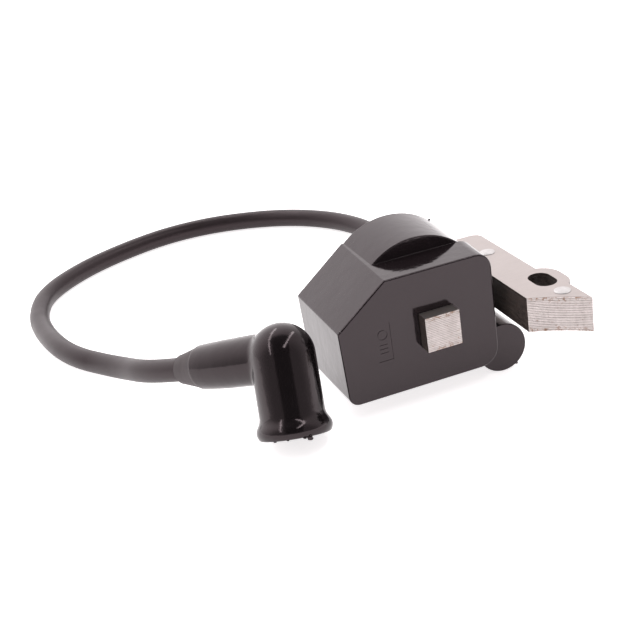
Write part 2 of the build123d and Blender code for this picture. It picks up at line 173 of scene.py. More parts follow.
def show(thing):
    """Link an object into the scene."""
    bpy.context.scene.collection.objects.link(thing)


# ---------------------------------------------------------------- camera


def make_camera():
    """The camera at the photograph's viewing angle."""
    across = math.cos(CAMERA_ELEVATION)
    look_x = math.sin(CAMERA_AZIMUTH) * across
    look_y = math.cos(CAMERA_AZIMUTH) * across
    look = Vector((look_x, look_y, -math.sin(CAMERA_ELEVATION)))
    level = Vector((math.cos(CAMERA_AZIMUTH), -math.sin(CAMERA_AZIMUTH), 0.0))
    up = level.cross(look)
    right = level * math.cos(CAMERA_ROLL) - up * math.sin(CAMERA_ROLL)
    up = right.cross(look)
    data = bpy.data.cameras.new("camera")
    data.sensor_width = 36.0
    data.lens = CAMERA_LENS
    data.clip_start = 0.005
    data.clip_end = 20.0
    camera = bpy.data.objects.new("camera", data)
    turn = Matrix((right, up, -look)).transposed().to_4x4()
    camera.matrix_world = Matrix.Translation(row(*CAMERA_AT)) @ turn
    show(camera)
    bpy.context.scene.camera = camera


# ---------------------------------------------------------------- materials


class Look:
    """A material with a Principled shader and object coordinates in millimetres."""

    def __init__(self, name):
        self.material = bpy.data.materials.new(name)
        self.material.use_nodes = True
        self.tree = self.material.node_tree
        self.shader = self.tree.nodes["Principled BSDF"]
        coords = self.node("ShaderNodeTexCoord")
        scaled = self.node("ShaderNodeVectorMath", operation="SCALE")
        scaled.inputs["Scale"].default_value = 1.0 / MM
        self.link(coords.outputs["Object"], scaled.inputs[0])
        self.mm = scaled.outputs[0]

    def node(self, kind, **settings):
        made = self.tree.nodes.new(kind)
        for key, value in settings.items():
            setattr(made, key, value)
        return made

    def link(self, a, b):
        self.tree.links.new(a, b)

    def put(self, node, index, value):
        """Set an input from a number, a tuple or another node's output."""
        if isinstance(value, bpy.types.NodeSocket):
            self.link(value, node.inputs[index])
        else:
            node.inputs[index].default_value = value

    def stretch(self, x, y, z):
        node = self.node("ShaderNodeVectorMath", operation="MULTIPLY")
        self.link(self.mm, node.inputs[0])
        node.inputs[1].default_value = (x, y, z)
        return node.outputs[0]

    def noise(self, per_mm, detail=3.0, rough=0.5, where=None):
        node = self.node("ShaderNodeTexNoise")
        node.inputs["Scale"].default_value = per_mm
        node.inputs["Detail"].default_value = detail
        node.inputs["Roughness"].default_value = rough
        self.link(where or self.mm, node.inputs["Vector"])
        return node.outputs["Fac"]

    def math(self, operation, a, b=0.0, c=0.0):
        node = self.node("ShaderNodeMath", operation=operation)
        for i, value in enumerate((a, b, c)):
            self.put(node, i, value)
        return node.outputs[0]

    def ranged(self, value, a0, a1, b0, b1):
        node = self.node("ShaderNodeMapRange")
        for i, v in enumerate((value, a0, a1, b0, b1)):
            self.put(node, i, v)
        return node.outputs[0]

    def axis(self, name):
        node = self.node("ShaderNodeSeparateXYZ")
        self.link(self.mm, node.inputs[0])
        return node.outputs[name]

    def mix(self, factor, a, b):
        node = self.node("ShaderNodeMix", data_type="RGBA")
        self.put(node, 0, factor)
        for i, value in ((6, a), (7, b)):
            if isinstance(value, bpy.types.NodeSocket):
                self.link(value, node.inputs[i])
            else:
                node.inputs[i].default_value = (*value, 1.0)
        return node.outputs[2]

    def bump(self, height, strength, distance_mm, under=None):
        node = self.node("ShaderNodeBump")
        node.inputs["Strength"].default_value = strength
        node.inputs["Distance"].default_value = distance_mm * MM
        self.link(height, node.inputs["Height"])
        if under:
            self.link(under, node.inputs["Normal"])
        return node.outputs["Normal"]

    def finish(self, colour, rough, normal=None, metallic=0.0, ior=1.5, **constants):
        if isinstance(colour, tuple):
            self.shader.inputs["Base Color"].default_value = (*colour, 1.0)
        else:
            self.link(colour, self.shader.inputs["Base Color"])
        if isinstance(rough, float):
            self.shader.inputs["Roughness"].default_value = rough
        else:
            self.link(rough, self.shader.inputs["Roughness"])
        if normal:
            self.link(normal, self.shader.inputs["Normal"])
        if isinstance(metallic, float):
            self.shader.inputs["Metallic"].default_value = metallic
        else:
            self.link(metallic, self.shader.inputs["Metallic"])
        self.shader.inputs["IOR"].default_value = ior
        for key, value in constants.items():
            self.shader.inputs[key.replace("_", " ")].default_value = value
        return self.material


def housing_plastic():
    """Glossy moulded phenolic black, with flow haze, rubs and dust."""
    look = Look("housing_black")
    haze = look.noise(0.09, 4.0, 0.6)
    fine = look.noise(1.6, 5.0, 0.65)
    rubs = look.noise(0.8, 6.0, 0.7, look.stretch(0.25, 1.0, 2.6))
    dust = look.ranged(look.noise(5.5, 2.0), 0.70, 0.76, 0.0, 1.0)
    base = look.mix(haze, (0.0085, 0.0058, 0.0068), (0.0130, 0.0092, 0.0104))
    colour = look.mix(look.math("MULTIPLY", dust, 0.35), base, (0.10, 0.095, 0.09))
    rough = look.ranged(rubs, 0.35, 0.75, 0.07, 0.16)
    rough = look.math("ADD", rough, look.ranged(dust, 0.0, 1.0, 0.0, 0.2))
    normal = look.bump(haze, 0.20, 0.6)
    normal = look.bump(look.noise(0.35, 2.0, 0.4), 0.07, 0.25, normal)
    normal = look.bump(fine, 0.06, 0.04, normal)
    return look.finish(colour, rough, normal, Specular_Tint=(1.0, 0.86, 0.90, 1.0))


def resin_black():
    """Cast backfill resin: glossy, with a slow ripple and small craters."""
    look = Look("resin")
    slow = look.noise(0.22, 3.0)
    craters = look.ranged(look.noise(1.9, 1.0), 0.62, 0.72, 0.0, 1.0)
    colour = look.mix(slow, (0.012, 0.010, 0.010), (0.030, 0.024, 0.021))
    rough = look.ranged(slow, 0.3, 0.7, 0.16, 0.34)
    normal = look.bump(slow, 0.25, 0.5)
    normal = look.bump(look.math("MULTIPLY", craters, -1.0), 0.15, 0.06, normal)
    return look.finish(colour, rough, normal)


def sheet_lines(look, strength):
    """How dark the joints between laminations are, broken up along their length."""
    z = look.math("SUBTRACT", look.axis("Z"), STACK_Z0 - TABLE_Z)
    turn = look.math("FRACT", look.math("DIVIDE", z, SHEET_T))
    far = look.math("ABSOLUTE", look.math("SUBTRACT", turn, 0.5))
    line = look.ranged(far, 0.33, 0.48, 0.0, strength)
    broken = look.ranged(look.noise(0.9, 3.0), 0.32, 0.60, 0.35, 1.0)
    return look.math("MULTIPLY", line, broken)


def ground_steel():
    """The sheets' satin flat faces, with rolling marks and faint water stains."""
    look = Look("core_steel")
    rolled = look.noise(1.2, 5.0, 0.6, look.stretch(0.3, 5.0, 1.0))
    blotch = look.noise(0.16, 4.0, 0.55)
    fine = look.noise(6.0, 4.0, 0.7)
    base = look.mix(blotch, (0.48, 0.435, 0.42), (0.43, 0.385, 0.37))
    colour = look.mix(look.ranged(rolled, 0.3, 0.7, 0.0, 0.30), base, (0.32, 0.30, 0.285))
    specks = look.ranged(look.noise(1.3, 5.0, 0.7), 0.68, 0.76, 0.0, 0.5)
    colour = look.mix(specks, colour, (0.20, 0.14, 0.10))
    rough = look.ranged(fine, 0.3, 0.7, 0.36, 0.50)
    return look.finish(colour, rough, look.bump(fine, 0.12, 0.03), metallic=0.85)


def ground_ends():
    """The ground pole ends: bright sheet edges with dark joints and rust specks."""
    look = Look("core_ends")
    lines = sheet_lines(look, 0.85)
    smear = look.noise(0.7, 5.0, 0.62, look.stretch(1.0, 1.0, 0.35))
    sheet = look.noise(2.0, 0.0, 0.0, look.stretch(0.02, 0.02, 1.0))
    base = look.mix(smear, (0.67, 0.61, 0.60), (0.55, 0.495, 0.48))
    base = look.mix(look.ranged(sheet, 0.35, 0.65, 0.0, 0.35), base, (0.46, 0.425, 0.405))
    colour = look.mix(lines, base, (0.15, 0.115, 0.095))
    middle = (STACK_Z0 + STACK_Z1) / 2 - TABLE_Z
    off = look.math("ABSOLUTE", look.math("SUBTRACT", look.axis("Z"), middle))
    edge = look.ranged(off, 2.6, 4.9, 0.0, 1.0)
    spots = look.noise(1.1, 6.0, 0.72)
    high = look.ranged(look.math("MULTIPLY_ADD", edge, 0.13, spots), 0.62, 0.72, 0.0, 0.9)
    rust = look.mix(look.noise(3.0, 3.0), (0.17, 0.085, 0.045), (0.36, 0.22, 0.15))
    colour = look.mix(high, colour, rust)
    metal = look.ranged(high, 0.0, 1.0, 0.75, 0.1)
    rough = look.ranged(smear, 0.3, 0.7, 0.42, 0.62)
    normal = look.bump(look.math("MULTIPLY", lines, -1.0), 0.5, 0.08)
    normal = look.bump(spots, 0.25, 0.08, normal)
    return look.finish(colour, rough, normal, metallic=metal)


def varnished_sides():
    """The punched sides of the stack, under dark brown varnish."""
    look = Look("core_varnish")
    lines = sheet_lines(look, 0.7)
    worn = look.noise(0.5, 6.0, 0.68, look.stretch(1.0, 1.0, 2.2))
    worn = look.ranged(worn, 0.35, 0.7, 0.0, 1.0)
    base = look.mix(worn, (0.034, 0.026, 0.024), (0.105, 0.080, 0.070))
    colour = look.mix(lines, base, (0.008, 0.007, 0.006))
    flecks = look.ranged(look.noise(2.4, 4.0, 0.7), 0.66, 0.74, 0.0, 0.6)
    colour = look.mix(flecks, colour, (0.20, 0.13, 0.09))
    rough = look.ranged(worn, 0.0, 1.0, 0.30, 0.52)
    normal = look.bump(look.math("MULTIPLY", lines, -1.0), 0.4, 0.08)
    return look.finish(colour, rough, normal, metallic=0.15)


def rivet_steel():
    """Bright rivet heads with a hammered face."""
    look = Look("rivet_steel")
    dents = look.noise(0.9, 4.0, 0.6)
    colour = look.mix(dents, (0.58, 0.565, 0.56), (0.46, 0.45, 0.445))
    rough = look.ranged(dents, 0.3, 0.7, 0.34, 0.50)
    return look.finish(colour, rough, look.bump(dents, 0.4, 0.15), metallic=1.0)


def lead_rubber():
    """The lead's satin jacket: extrusion lines, handling marks and dust."""
    look = Look("lead_rubber")
    slow = look.noise(0.06, 4.0, 0.6)
    fine = look.noise(2.6, 5.0, 0.7)
    grains = look.ranged(look.noise(4.2, 2.0), 0.69, 0.76, 0.0, 0.5)
    base = look.mix(slow, (0.0120, 0.0086, 0.0094), (0.0180, 0.0132, 0.0145))
    colour = look.mix(grains, base, (0.11, 0.10, 0.095))
    rough = look.ranged(slow, 0.3, 0.7, 0.33, 0.46)
    normal = look.bump(fine, 0.16, 0.04)
    return look.finish(colour, rough, normal, ior=1.44, Specular_Tint=(1.0, 0.81, 0.85, 1.0))


def boot_rubber():
    """The boot's glossy moulded rubber, matt on the cone that grips the lead."""
    look = Look("boot_rubber")
    slow = look.noise(0.12, 4.0, 0.6)
    fine = look.noise(1.8, 5.0, 0.68)
    frame_of_boot = boot_frame()
    arm = frame_of_boot.col[0].xyz
    elbow = TO_ROW @ (frame_of_boot @ Vector((0.0, 0.0, INLET_H))) / MM
    along = look.node("ShaderNodeVectorMath", operation="DOT_PRODUCT")
    look.link(look.mm, along.inputs[0])
    along.inputs[1].default_value = arm
    far = look.math("SUBTRACT", along.outputs["Value"], elbow.dot(arm))
    cone = look.ranged(far, CONE_START, CONE_START + 0.6, 0.0, 1.0)
    grains = look.ranged(look.noise(4.8, 2.0), 0.70, 0.78, 0.0, 0.35)
    base = look.mix(slow, (0.0050, 0.0040, 0.0044), (0.0076, 0.0060, 0.0066))
    base = look.mix(cone, base, (0.035, 0.030, 0.031))
    colour = look.mix(grains, base, (0.10, 0.095, 0.09))
    matt = look.math("MULTIPLY", cone, 0.42)
    rough = look.math("ADD", look.ranged(slow, 0.3, 0.7, 0.09, 0.17), matt)
    normal = look.bump(slow, 0.22, 0.6)
    normal = look.bump(fine, 0.035, 0.04, normal)
    return look.finish(colour, rough, normal, ior=1.46, Specular_Tint=(1.0, 0.82, 0.86, 1.0))


def metal(name, bright, dull, rough0, rough1, grain=2.0):
    """A small metal part with handling marks."""
    look = Look(name)
    marks = look.noise(grain, 4.0, 0.6)
    colour = look.mix(marks, bright, dull)
    rough = look.ranged(marks, 0.3, 0.7, rough0, rough1)
    return look.finish(colour, rough, look.bump(marks, 0.2, 0.05), metallic=1.0)


def moulding(name, light, dark, rough0, rough1, grain=1.5):
    """A small moulded or printed part."""
    look = Look(name)
    marks = look.noise(grain, 4.0, 0.6)
    colour = look.mix(marks, light, dark)
    rough = look.ranged(marks, 0.3, 0.7, rough0, rough1)
    return look.finish(colour, rough, look.bump(marks, 0.25, 0.05))


def winding(name, bright, dark, pitch_mm):
    """Enamelled wire laid in turns along Y, with painted shade darkening the grooves between turns."""
    look = Look(name)
    y = look.math("DIVIDE", look.axis("Y"), pitch_mm)
    turn = look.math("ABSOLUTE", look.math("SUBTRACT", look.math("FRACT", y), 0.5))
    uneven = look.noise(0.8, 3.0)
    # painted shade: the colour darkens toward the groove between each turn and the next
    colour = look.mix(look.ranged(turn, 0.2, 0.5, 0.0, 0.8), bright, dark)
    colour = look.mix(look.math("MULTIPLY", uneven, 0.3), colour, dark)
    round_top = look.math("SUBTRACT", 0.5, turn)
    return look.finish(colour, 0.3, look.bump(round_top, 0.8, pitch_mm * 0.5), metallic=0.8)


# ---------------------------------------------------------------- mesh helpers


def placed(name, mesh, looks, replaced=(), sharp=32.0, weighted=True):
    """Move a local mesh into the row frame and add it as a piece on the one body."""
    mesh.transform(TO_ROW)
    piece = bpy.data.objects.new(name, mesh)
    show(piece)
    mesh.materials.clear()
    for look in looks:
        mesh.materials.append(look)
    mesh.shade_smooth()
    mesh.set_sharp_from_angle(angle=math.radians(sharp))
    if weighted:
        even = piece.modifiers.new("even_normals", "WEIGHTED_NORMAL")
        even.keep_sharp = True
        even.weight = 80
    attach(piece, "root")
    if replaced:
        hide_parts(*replaced)
    return piece


def from_rings(rings, close=True):
    """A closed skin through rings of points that all have the same count."""
    bm = bmesh.new()
    rows = [[bm.verts.new(p) for p in ring] for ring in rings]
    count = len(rows[0])
    for a, b in zip(rows[:-1], rows[1:]):
        for i in range(count):
            j = (i + 1) % count
            bm.faces.new((a[i], a[j], b[j], b[i]))
    if close:
        bm.faces.new(rows[0][::-1])
        bm.faces.new(rows[-1])
    bmesh.ops.recalc_face_normals(bm, faces=bm.faces)
    mesh = bpy.data.meshes.new("rings")
    bm.to_mesh(mesh)
    bm.free()
    return mesh


def baked(holder):
    """The mesh of a temporary object with its modifiers applied; the object is removed."""
    show(holder)
    graph = bpy.context.evaluated_depsgraph_get()
    mesh = bpy.data.meshes.new_from_object(holder.evaluated_get(graph))
    bpy.data.objects.remove(holder)
    return mesh


def carved(mesh, tool, operation="DIFFERENCE"):
    """The exact boolean of two local meshes, which takes the tool away unless told otherwise."""
    a = bpy.data.objects.new("body", mesh)
    b = bpy.data.objects.new("tool", tool)
    show(b)
    cut = a.modifiers.new("cut", "BOOLEAN")
    cut.operation = operation
    cut.solver = "EXACT"
    cut.object = b
    out = baked(a)
    bpy.data.objects.remove(b)
    return out


def grown(points, growth):
    """A convex outline moved outward by growth."""
    lines = []
    for i, (x0, z0) in enumerate(points):
        x1, z1 = points[(i + 1) % len(points)]
        long = math.hypot(x1 - x0, z1 - z0)
        nx, nz = (z1 - z0) / long, -(x1 - x0) / long
        lines.append((nx, nz, nx * x0 + nz * z0 + growth))
    out = []
    for i in range(len(points)):
        a, b, c = lines[i - 1]
        d, e, f = lines[i]
        det = a * e - b * d
        out.append(((c * e - b * f) / det, (a * f - c * d) / det))
    return out


def rounded(points, radii, steps=10):
    """A convex outline with its corners rounded, as many points at every corner."""
    out = []
    for i, corner in enumerate(points):
        c = Vector(corner)
        before = (Vector(points[i - 1]) - c).normalized()
        after = (Vector(points[(i + 1) % len(points)]) - c).normalized()
        half = before.angle(after) / 2
        reach = radii[i] / math.tan(half)
        centre = c + (before + after).normalized() * (radii[i] / math.sin(half))
        a0 = math.atan2(*(c + before * reach - centre).yx)
        a1 = math.atan2(*(c + after * reach - centre).yx)
        turn = (a1 - a0 + math.pi) % (2 * math.pi) - math.pi
        for k in range(steps + 1):
            a = a0 + turn * k / steps
            out.append(centre + Vector((math.cos(a), math.sin(a))) * radii[i])
    return out


def outline():
    """The housing's front outline."""
    return [
        (0.0, 0.0),
        (HOUSING_W, 0.0),
        (HOUSING_W, HOUSING_H),
        (CHAMFER_X, HOUSING_H),
        (-LEFT_LEAN, CHAMFER_Z),
    ]


def edge_profile(y0, y1, front, back, steps=5):
    """(depth, inset) pairs down a rounded front edge and up a rounded back edge."""
    pairs = []
    for k in range(steps + 1):
        a = math.radians(90.0 * k / steps)
        pairs.append((y0 + front * (1 - math.cos(a)), front * (1 - math.sin(a))))
    for k in range(steps + 1):
        a = math.radians(90.0 * k / steps)
        pairs.append((y1 - back * (1 - math.sin(a)), back * (1 - math.cos(a))))
    return pairs


def block_skin(growth, radii, y0, y1, front, back):
    """The drafted block with rounded long corners and rounded ends."""
    rings = []
    for y, inset in edge_profile(y0, y1, front, back):
        draft = DRAFT * y / HOUSING_D + growth
        loop = rounded(grown(outline(), draft - inset), [max(r - inset, 0.05) for r in radii])
        rings.append([(p.x, y, p.y) for p in loop])
    return from_rings(rings)


def bump_skin(shrink, y0, y1, front, back, low):
    """The round back over the coil, closed by a flat a little inside the block."""
    rings = []
    for y, inset in edge_profile(y0, y1, front, back):
        radius = BUMP_R - shrink - inset + DRAFT * (y - SHELF_D) / (HOUSING_D - SHELF_D)
        start = math.asin((low - BUMP_Z) / radius)
        steps = 72
        ring = []
        for k in range(steps + 1):
            a = start + (math.pi - 2 * start) * k / steps
            ring.append((BUMP_X + radius * math.cos(a), y, BUMP_Z + radius * math.sin(a)))
        rings.append(ring)
    return from_rings(rings)


def corner_tool(shrink, y0, y1):
    """What a square top right corner would add outside the round back."""
    corner = box_tool(38.0, 52.0, y0, y1, ROUND_LOW_Z, HOUSING_H + 6.0)
    return carved(corner, bump_skin(shrink, y0 - 1.0, y1 + 1.0, 0.001, 0.001, 20.0))


def turned(profile, origin, axis, steps=96, closed=False):
    """A solid of revolution; profile is (radius, distance along the axis).

    An open profile is capped at its ends. A closed one leaves a hole through the middle.
    """
    side = axis.orthogonal().normalized()
    other = axis.cross(side)
    bm = bmesh.new()
    rows = []
    for radius, along in profile:
        if radius < 1e-6:
            rows.append([bm.verts.new(origin + axis * along)])
            continue
        ring = []
        for k in range(steps):
            a = 2 * math.pi * k / steps
            out = side * math.cos(a) + other * math.sin(a)
            ring.append(bm.verts.new(origin + axis * along + out * radius))
        rows.append(ring)
    if closed:
        rows.append(rows[0])
    for a, b in zip(rows[:-1], rows[1:]):
        for i in range(steps):
            j = (i + 1) % steps
            corners = [a[i % len(a)], a[j % len(a)], b[j % len(b)], b[i % len(b)]]
            once = list(dict.fromkeys(corners))
            if len(once) > 2:
                bm.faces.new(once)
    for end in (rows[0], rows[-1]):
        if len(end) > 1 and not closed:
            bm.faces.new(end)
    bmesh.ops.recalc_face_normals(bm, faces=bm.faces)
    mesh = bpy.data.meshes.new("turned")
    bm.to_mesh(mesh)
    bm.free()
    return mesh


def rod(radius, x, z, y0, y1, steps=96):
    """A plain cylinder along Y, used as a cutting tool."""
    return turned([(radius, y0), (radius, y1)], Vector((x, 0.0, z)), ALONG_Y, steps)


def box_tool(x0, x1, y0, y1, z0, z1):
    """A box, used as a cutting tool."""
    corners = ((x0, z0), (x1, z0), (x1, z1), (x0, z1))
    return from_rings([[(x, y, z) for x, z in corners] for y in (y0, y1)])


def chip(seed, size, place, stretch):
    """A torn bit of moulding flash: a small irregular lump."""
    bm = bmesh.new()
    bmesh.ops.create_icosphere(bm, subdivisions=3, radius=size)
    draw = random.Random(seed)
    waves = []
    for _ in range(7):
        waves.append((Vector([draw.uniform(-1, 1) for _ in range(3)]), draw.uniform(0, 6)))
    for v in bm.verts:
        bend = sum(math.sin(3.0 / size * w.dot(v.co) + p) for w, p in waves) / 7
        v.co = v.co * (1 + 0.55 * bend)
        v.co = Vector((v.co.x * stretch[0], v.co.y * stretch[1], v.co.z * stretch[2]))
    bmesh.ops.translate(bm, verts=bm.verts, vec=Vector(place))
    mesh = bpy.data.meshes.new("chip")
    bm.to_mesh(mesh)
    bm.free()
    return mesh


# ---------------------------------------------------------------- lead

ROUTE = [
    (48.2, 12.0, 1.8),
    (48.2, 57.0, 1.8),
    (57.5, 100.0, -2.0),
    (57.0, 140.0, -1.9),
    (34.5, 172.0, -2.0),
    (-5.0, 187.0, -1.9),
    (-43.5, 175.0, -2.0),
    (-67.0, 154.0, -1.9),
    (-73.0, 132.0, -2.0),
    (-71.7, 111.3, -2.0),
    (-66.0, 85.7, -0.5),
    (-54.0, 68.2, -0.5),
    (-43.16, 38.48, 6.99),
    (-20.32, 13.35, 15.44),
]


def make_lead(look):
    """The plug lead: one NURBS line that the route steers, 7 mm thick."""
    data = bpy.data.curves.new("plug_lead", "CURVE")
    data.dimensions = "3D"
    data.resolution_u = 24
    spline = data.splines.new("NURBS")
    spline.points.add(len(ROUTE) - 1)
    for point, place in zip(spline.points, ROUTE):
        point.co = (*row(*place), 1.0)
    spline.order_u = 3
    spline.use_endpoint_u = True
    lead = bpy.data.objects.new("plug_lead", data)
    show(lead)
    graph = bpy.context.evaluated_depsgraph_get()
    line = bpy.data.meshes.new_from_object(lead.evaluated_get(graph))
    back = TO_ROW.inverted()
    centre = np.array([back @ v.co for v in line.vertices])
    data.bevel_depth = LEAD_R * MM
    data.bevel_resolution = 10
    data.use_fill_caps = True
    data.materials.append(look)
    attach(lead, "root")
    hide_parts("ht_lead")
    return lead, centre


# ---------------------------------------------------------------- boot


def smooth_min(a, b, k):
    h = np.clip(0.5 + 0.5 * (b - a) / k, 0.0, 1.0)
    return b + (a - b) * h - k * h * (1.0 - h)


def boot_frame():
    """The boot's own frame in the local one: Z up its axis, X out along its arm."""
    up = Vector(
        (
            math.sin(LEAN_TURN) * math.sin(BOOT_LEAN),
            math.cos(LEAN_TURN) * math.sin(BOOT_LEAN),
            math.cos(BOOT_LEAN),
        )
    )
    side = Vector((-math.cos(LEAN_TURN), math.sin(LEAN_TURN), 0.0))
    away = side.cross(up)
    arm = side * math.cos(ARM_SWING) + away * math.sin(ARM_SWING)
    rise = LIP_ROUND * (1 - math.cos(BOOT_LEAN)) + (LIP_R - LIP_ROUND) * math.sin(BOOT_LEAN)
    elbow = Vector((ELBOW_X, ELBOW_Y, TABLE_Z + rise + INLET_H * up.z))
    turn = Matrix((arm, up.cross(arm), up)).transposed().to_4x4()
    return Matrix.Translation(elbow - up * INLET_H) @ turn


# the arm's radius at distances along the lead from the elbow
ARM_S = [0.0, 12.0, 19.0, 25.4, 28.2, 28.7, 32.0, ARM_END]
ARM_RADII = [7.1, 6.92, 6.8, 6.53, 6.35, 6.05, 5.2, 4.25]


def boot_field(points, line):
    """Signed distance, roughly, to the boot's outer skin, in the boot's frame."""
    x, y, z = points[:, 0], points[:, 1], points[:, 2]
    rho = np.hypot(x, y)
    body = np.hypot(rho, np.maximum(z - (BOOT_H - BOOT_R), 0.0)) - BOOT_R
    lip = np.hypot(np.maximum(rho - (LIP_R - LIP_ROUND), 0.0), z - LIP_ROUND) - LIP_ROUND
    body = smooth_min(body, lip, 2.2)
    # the arm follows the lead's own line, so the two stay concentric
    steps = np.linalg.norm(np.diff(line, axis=0), axis=1)
    along = np.concatenate([[0.0], np.cumsum(steps)])
    best = np.full(len(points), 1e9)
    where = np.zeros(len(points))
    for i in range(len(line) - 1):
        a, d = line[i], line[i + 1] - line[i]
        long = max(steps[i], 1e-9)
        t = np.clip(((points - a) @ d) / long**2, 0.0, 1.0)
        gap = np.linalg.norm(points - a - t[:, None] * d, axis=1)
        nearer = gap < best
        best = np.where(nearer, gap, best)
        where = np.where(nearer, along[i] + t * long, where)
    radius = np.interp(where, ARM_S, ARM_RADII)
    arm = best - radius
    whole = smooth_min(body, arm, 0.9)
    # the mould's parting line, in the plane of the two axes
    ridge = 0.06 * np.exp(-((y / 0.15) ** 2)) * (z > 1.0)
    whole = whole - ridge
    return -smooth_min(-whole, z, 0.5)


# torn bits of moulding flash on the open end, in the boot's frame: seed, size, place, stretch
FLASH = [
    (5, 0.62, (-8.1, 4.7, -0.25), (1.3, 1.2, 1.3)),
    (7, 0.36, (-7.2, 5.9, -0.05), (1.3, 1.3, 0.8)),
    (9, 0.34, (0.0, 9.2, 0.05), (1.4, 1.0, 1.0)),
    (12, 0.22, (-3.6, 8.5, 0.02), (1.6, 1.2, 0.8)),
]


def arm_line(centre):
    """The lead's line in the boot's frame, from the elbow to the arm's end."""
    back = np.array(boot_frame().inverted())
    near = centre[::-1] @ back[:3, :3].T + back[:3, 3]
    start = np.array([0.0, 0.0, INLET_H])
    steps = np.linalg.norm(np.diff(np.vstack([start, near]), axis=0), axis=1)
    reach = np.cumsum(steps)
    inside = reach < ARM_END - 0.5
    line = np.vstack([start, near[inside]])
    ahead = near[~inside][0] - line[-1]
    rest = ARM_END - reach[inside][-1]
    return np.vstack([line, line[-1] + ahead / np.linalg.norm(ahead) * rest])


def rough_boot():
    """A plain boot of about the right shape, as an even fine mesh."""
    profile = [(0, 0), (LIP_R, 0), (LIP_R, 5), (8.8, 8), (8.8, 25), (5, 30), (0, BOOT_H)]
    body = turned(profile, Vector((0.0, 0.0, 0.0)), UP, 64)
    arm = turned([(6.5, 0), (6.3, 27), (4.4, 36.0)], Vector((0.0, 0.0, INLET_H)), ALONG_X, 64)
    holder = bpy.data.objects.new("rough", carved(body, arm, "UNION"))
    remesh = holder.modifiers.new("fine", "REMESH")
    remesh.mode = "VOXEL"
    remesh.voxel_size = 0.38
    return baked(holder)


def pulled(skin, line):
    """Move every point of the rough boot onto the boot's field."""
    points = np.array([v.co for v in skin.vertices])
    for step in range(14):
        value = boot_field(points, line)
        slope = np.zeros_like(points)
        for k in range(3):
            nudge = np.zeros(3)
            nudge[k] = 0.02
            change = boot_field(points + nudge, line) - boot_field(points - nudge, line)
            slope[:, k] = change / 0.04
        size = np.maximum((slope**2).sum(1), 0.05)
        move = slope * (value / size)[:, None]
        long = np.linalg.norm(move, axis=1)
        points = points - move * np.minimum(1.0, 0.8 / np.maximum(long, 1e-9))[:, None]
        if step in (1, 3, 5):
            points = relaxed(skin, points)
    skin.vertices.foreach_set("co", points.astype(np.float32).ravel())
    return skin


def make_boot(look, centre):
    """The elbow boot: a fine skin pulled onto its field, then bored for plug and lead."""
    line = arm_line(centre)
    origin = Vector((0.0, 0.0, 0.0))
    skin = pulled(rough_boot(), line)
    wide = PLUG_BORE_R + 0.3
    narrow = PLUG_BORE_R - 0.3
    seal = [(wide, -1), (wide, 0), (PLUG_BORE_R, 0.4), (PLUG_BORE_R, PLUG_SEAL_L)]
    behind = [(narrow, PLUG_SEAL_L + 0.3), (narrow, PLUG_BORE_L)]
    skin = carved(skin, turned(seal + behind, origin, UP))
    clip_hole = [(CLIP_HOLE_R, PLUG_BORE_L - 1), (CLIP_HOLE_R, CLIP_HOLE_END)]
    skin = carved(skin, turned(clip_hole, origin, UP, 64))
    skin = carved(skin, lead_tool(line))
    for seed, size, place, stretch in FLASH:
        skin = carved(skin, chip(seed, size, place, stretch), "UNION")
    skin.transform(boot_frame())
    return placed("boot_skin", skin, [look], ["plug_boot"], sharp=50.0, weighted=False)


def relaxed(mesh, points):
    """Every point moved halfway to the middle of its neighbours."""
    edges = np.zeros(len(mesh.edges) * 2, np.int32)
    mesh.edges.foreach_get("vertices", edges)
    edges = edges.reshape(-1, 2)
    total = np.zeros_like(points)
    count = np.zeros(len(points))
    for a, b in ((0, 1), (1, 0)):
        np.add.at(total, edges[:, a], points[edges[:, b]])
        np.add.at(count, edges[:, a], 1)
    return 0.5 * points + 0.5 * total / np.maximum(count, 1)[:, None]


def lead_tool(line):
    """A tube as thick as the lead along the end of its line."""
    data = bpy.data.curves.new("tool", "CURVE")
    data.dimensions = "3D"
    data.bevel_depth = LEAD_R + FIT_GAP
    data.bevel_resolution = 10
    data.use_fill_caps = True
    spline = data.splines.new("POLY")
    inner = line[1:]
    last = inner[-1] + (inner[-1] - inner[-2]) / np.linalg.norm(inner[-1] - inner[-2]) * 3.0
    inner = np.vstack([inner, last])
    spline.points.add(len(inner) - 1)
    for point, place in zip(spline.points, inner):
        point.co = (*place, 1.0)
    mesh = baked(bpy.data.objects.new("tool", data))
    bm = bmesh.new()
    bm.from_mesh(mesh)
    bmesh.ops.remove_doubles(bm, verts=bm.verts, dist=1e-4)
    bmesh.ops.recalc_face_normals(bm, faces=bm.faces)
    bm.to_mesh(mesh)
    bm.free()
    return mesh


# ---------------------------------------------------------------- housing


def cavity_tool():
    """The space inside the cup, without the boss's wall."""
    end = HOUSING_D + 1.5
    inner = block_skin(-WALL, INNER_CORNERS, WALL, end, 0.5, 0.05)
    inner = carved(inner, corner_tool(WALL + FIT_GAP, SHELF_D + WALL, HOUSING_D + 3.0))
    inner = carved(inner, bump_skin(WALL, SHELF_D + WALL, end, 0.3, 0.05, BUMP_FLAT_Z - 0.5), "UNION")
    return carved(inner, rod(BOSS_R, BOSS_X, BOSS_Z, BOSS_Y - 1, HOUSING_D + 3))


